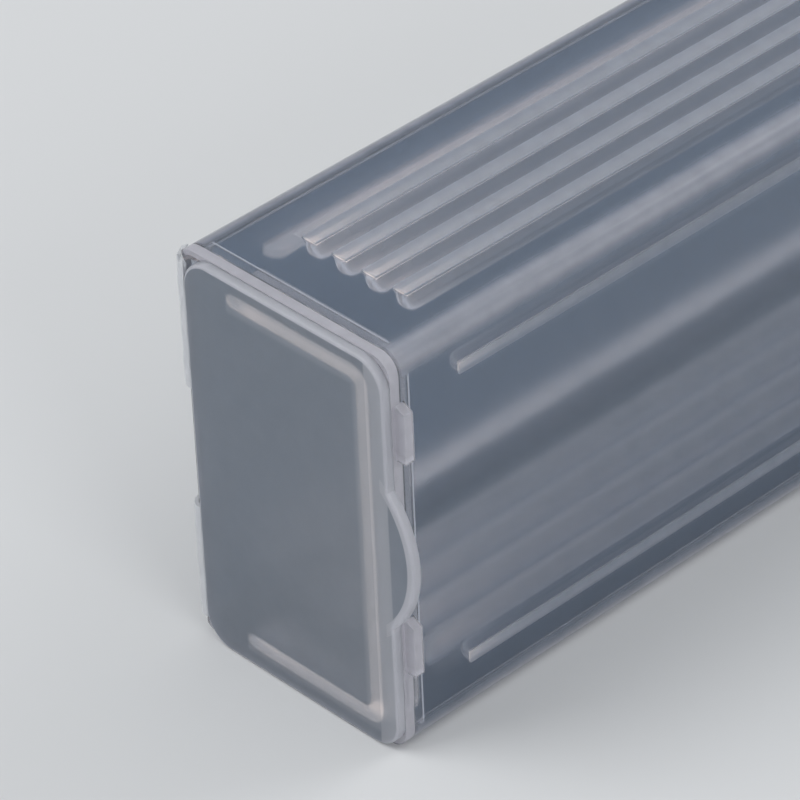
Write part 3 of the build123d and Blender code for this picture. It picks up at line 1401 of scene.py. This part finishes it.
@dataclass
class HingeStrap:
    """One hinge film between the tube's edge and the lid's edge.

    Args:
        node: CAD node that the film stands for.
        low: lower end of the film, in millimetres.
        torn: how far the ragged upper end stands up.
        length: length of the film, up the hinge edge.
        outside_x: outside of the tube's hinge wall.
        anchor_y: end of the film on the tube.
        front_y: front of the film on the lid.
        bend: outside radius of the bend.
        thickness: thickness of the film.
        tear: length over which the torn end stands up.
        holds: end of the film that stays on the tube as it bends; not used.
        lets_go: how far before the lid's edge it starts to ride on the lid; not used.
    """

    node: str
    low: float
    torn: float = 0.0
    length: float = 8.8
    outside_x: float = -SIZES.half_width
    anchor_y: float = 0.9
    front_y: float = -0.6
    bend: float = 0.95
    thickness: float = 0.28
    tear: float = 0.8
    holds: float = 0.55
    lets_go: float = 0.15

    def profile(self, count: int) -> np.ndarray:
        """Closed outline of the film in plan.

        The outside runs up the tube's wall, round a quarter circle of the bend
        radius and along the lid's front. The inside is the same line moved in by
        the thickness.

        Args:
            count: points along the quarter circle.

        Returns:
            Array of shape (n, 2), x and y in millimetres.
        """
        centre = np.array([self.outside_x + self.bend, self.front_y + self.bend])
        turn = np.linspace(math.pi, 1.5 * math.pi, count)
        ring = np.stack([np.cos(turn), np.sin(turn)], axis=1)
        outer = centre + self.bend * ring
        inner = centre + (self.bend - self.thickness) * ring
        outer = np.vstack([[self.outside_x, self.anchor_y], outer, [SIZES.lid_left, self.front_y]])
        tail = [self.outside_x + 0.02, self.anchor_y]
        inner = np.vstack([tail, inner, [SIZES.lid_left, self.front_y + self.thickness]])
        return np.vstack([outer, inner[::-1]])

    def build(self) -> Piece:
        """Build the film by carrying its outline up the hinge edge.

        The outline swells and shrinks slightly with two sine waves, and the upper
        end stands up by a torn line made of two more.

        Returns:
            The film's object.
        """
        outline = self.profile(12)
        high = self.low + self.length
        heights = np.linspace(self.low, high, 60)
        waves = 0.03 * np.sin(heights * 2.1 + self.low) + 0.02 * np.sin(heights * 5.3)
        middle = np.array([-8.5, 0.35])
        grow = 1.0 + waves[:, None, None] * 0.6
        ring = middle + (outline[None, :, :] - middle) * grow
        ring[:, :, 0] = np.maximum(ring[:, :, 0], self.outside_x)
        points = np.empty((len(heights), len(outline), 3))
        points[:, :, :2] = ring
        points[:, :, 2] = heights[:, None]
        turn = np.linspace(0.0, 1.0, len(outline))
        ragged = 0.9 + 0.2 * np.sin(turn * 23.0) + 0.15 * np.sin(turn * 41.0 + 1.0)
        end = np.clip((heights - high + self.tear) / self.tear, 0.0, 1.0) ** 1.5
        points[:, :, 2] += self.torn * end[:, None] * np.clip(ragged, 0.0, 1.3)[None, :]
        return strands(self.node + "_film", points[None])

    def dress(self, material: bpy.types.Material) -> None:
        """Build the film, give it its finish and hide the CAD node that it stands for.

        Args:
            material: film finish.
        """
        piece = self.build()
        piece.data.materials.append(material)
        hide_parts(self.node)
        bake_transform(piece)
        log.info("%s: film round the hinge edge", piece.name)


@dataclass
class Moulding:
    """The tube and the lid, which keep their solids and get their finishes.

    Args:
        tube: finish of the tube.
        lid: finish of the lid.
    """

    tube: ClearTubeFinish = ClearTubeFinish(
        name="clear_polypropylene",
        wall=(0.31, 0.38, 0.48),
        thick=(0.80, 0.82, 0.87),
        transmission=0.90,
        roughness=0.09,
        skin=(0.5, 0.008, 6.0),
    )
    lid: FrostedLidFinish = FrostedLidFinish(
        name="frosted_polypropylene",
        wall=(0.33, 0.38, 0.45),
        thick=(0.78, 0.80, 0.85),
        transmission=0.74,
        roughness=0.36,
        skin=(0.3, 0.9, 7.0),
    )

    def dress(self, effects: SharedEffects) -> None:
        """Put the finishes on the two solids.

        Args:
            effects: the shared groups.
        """
        for node, finish in (("tube", self.tube), ("lid", self.lid)):
            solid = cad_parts[node]
            solid.data.materials.clear()
            solid.data.materials.append(finish.build(effects))
            log.info("%s: finish %s", node, finish.name)


@dataclass
class Studio:
    """Pale floor, pale surroundings and soft lamps.

    Args:
        floor_colour: colour of the floor.
        world_colour: colour of the light from all round.
        world_strength: its strength.
        lamps: name, position in metres, side in metres and power in watts of each.
    """

    floor_colour: Colour = (0.70, 0.71, 0.72)
    world_colour: Colour = (0.96, 0.98, 1.0)
    world_strength: float = 0.55
    lamps: list[tuple[str, Point, float, float]] = field(
        default_factory=lambda: [
            ("key_lamp", (-0.30, -0.45, 0.75), 0.5, 3.0),
            ("back_lamp", (0.25, 0.75, 0.55), 0.5, 2.0),
            ("side_lamp", (0.80, -0.20, 0.40), 0.4, 1.5),
        ]
    )

    def build(self) -> None:
        """Make the floor, the world and the lamps."""
        self._floor()
        self._world()
        for name, place, size, power in self.lamps:
            self._lamp(name, place, size, power)

    def _floor(self) -> None:
        """Make the floor as a wide flat grid."""
        across, along = np.meshgrid(np.linspace(-3.0, 3.0, 3), np.linspace(-3.0, 3.0, 3))
        points = np.stack([across, along, np.zeros_like(across)], axis=-1)
        floor = new_piece("floor", points, grid_faces(3, 3, False, False))
        colour = rgba(self.floor_colour)
        material = new_material("pale_floor", Base_Color=colour, Roughness=0.8, Specular_IOR_Level=0.1)
        floor.data.materials.append(material)
        log.info("floor: pale and plain")

    def _world(self) -> None:
        """Light the scene evenly from all round."""
        world = bpy.data.worlds.new("studio")
        world.use_nodes = True
        background = world.node_tree.nodes["Background"]
        background.inputs["Color"].default_value = rgba(self.world_colour)
        background.inputs["Strength"].default_value = self.world_strength
        bpy.context.scene.world = world

    @staticmethod
    def _lamp(name: str, place: Point, size: float, power: float) -> None:
        """Add one square soft lamp that faces the mailer.

        Args:
            name: lamp name.
            place: position in metres.
            size: side in metres.
            power: power in watts.
        """
        light = bpy.data.lights.new(name, "AREA")
        light.shape = "SQUARE"
        light.size = size
        light.energy = power
        lamp = bpy.data.objects.new(name, light)
        bpy.context.scene.collection.objects.link(lamp)
        lamp.location = place
        middle = Vector((0.0, 0.0, MID_HEIGHT * MILLIMETRE))
        lamp.rotation_euler = (middle - Vector(place)).to_track_quat("-Z", "Y").to_euler()


@dataclass(frozen=True)
class PhotoCamera:
    """Camera at the photograph's angle, worked out from the edges of the mailer.

    Args:
        azimuth: direction round the mailer, in degrees from the mouth's own direction.
        elevation: height above the floor, in degrees.
        roll: tilt of the picture, in degrees.
        distance: distance from the target, in metres.
        focal_pixels: focal length in pixels of the picture.
        pan_right: shift to the right, in metres.
        pan_up: shift upwards, in metres.
        target: middle of the mouth, in metres.
        image_pixels: width of the picture.
        sensor: sensor width, in millimetres.
    """

    azimuth: float = 47.490
    elevation: float = 35.987
    roll: float = -2.678
    distance: float = 0.36799
    focal_pixels: float = 5914.4
    pan_right: float = 0.006668
    pan_up: float = 0.006160
    target: Point = (0.0, -0.0404, 0.015)
    image_pixels: int = 800
    sensor: float = 36.0

    def build(self) -> None:
        """Make the camera and set it as the scene's camera."""
        azimuth, elevation, roll = (math.radians(a) for a in (self.azimuth, self.elevation, self.roll))
        outward = Vector((math.sin(azimuth), -math.cos(azimuth), 0.0))
        back = outward * math.cos(elevation) + Vector((0.0, 0.0, math.sin(elevation)))
        level = Vector((math.cos(azimuth), math.sin(azimuth), 0.0))
        upright = back.cross(level)
        right = level * math.cos(roll) + upright * math.sin(roll)
        up = upright * math.cos(roll) - level * math.sin(roll)
        place = Vector(self.target) + back * self.distance + right * self.pan_right + up * self.pan_up
        data = bpy.data.cameras.new("photo_camera")
        data.sensor_fit = "HORIZONTAL"
        data.sensor_width = self.sensor
        data.lens = self.focal_pixels / self.image_pixels * self.sensor
        data.clip_start = 0.01
        data.clip_end = 20.0
        camera = bpy.data.objects.new("photo_camera", data)
        bpy.context.scene.collection.objects.link(camera)
        rotation = Matrix((right, up, back)).transposed()
        camera.matrix_world = Matrix.Translation(place) @ rotation.to_4x4()
        bpy.context.scene.camera = camera
        log.info("photo_camera: lens %.1f mm", data.lens)


def main() -> None:
    """Build the scene in order."""
    bpy.context.scene.view_settings.view_transform = "Standard"
    PhotoCamera().build()
    Studio().build()
    effects = SharedEffects()
    Moulding().dress(effects)
    ClearCores().dress(effects)
    film = Plastic(
        name="hinge_film",
        wall=(0.78, 0.81, 0.86),
        thick=(0.95, 0.96, 0.98),
        transmission=0.45,
        roughness=0.3,
        skin=(0.8, 0.3, 3.0),
    ).build(effects)
    HingeStrap("upper_hinge_strap", 19.65, torn=0.95).dress(film)
    HingeStrap("lower_hinge_strap", 1.55).dress(film)


if __name__ == "__main__":
    main()
